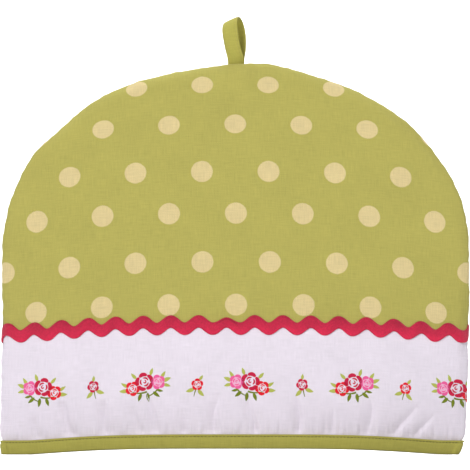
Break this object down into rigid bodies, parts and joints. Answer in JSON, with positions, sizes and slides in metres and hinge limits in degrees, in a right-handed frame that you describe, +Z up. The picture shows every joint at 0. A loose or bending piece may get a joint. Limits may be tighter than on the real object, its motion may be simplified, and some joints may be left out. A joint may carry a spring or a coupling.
{
  "type": "tea cosy",
  "caption": "Padded tea cosy with a domed spotted crown, a rose-sprig border, wavy braid over the join, a bound hem and a hanging loop.",
  "frame": {"origin": "on the floor, under the middle of the hem", "axes": "+X to the right along the width, -Y towards the viewer of the front, +Z up"},
  "size_m": [0.3445, 0.083, 0.3202],
  "materials": {
    "crown_cloth": "plain-weave cotton, green with cream spots",
    "border_cloth": "plain-weave cotton, pale with a rose print",
    "braid": "woven wavy braid",
    "trim_cloth": "plain-weave cotton, green"
  },
  "bodies": {
    "root": {"crown_front": "crown_cloth", "crown_back": "crown_cloth", "border_front": "border_cloth", "border_back": "border_cloth", "braid_front": "braid", "braid_back": "braid", "hem_binding": "trim_cloth", "hanging_loop": "trim_cloth"}
  },
  "joints": []
}
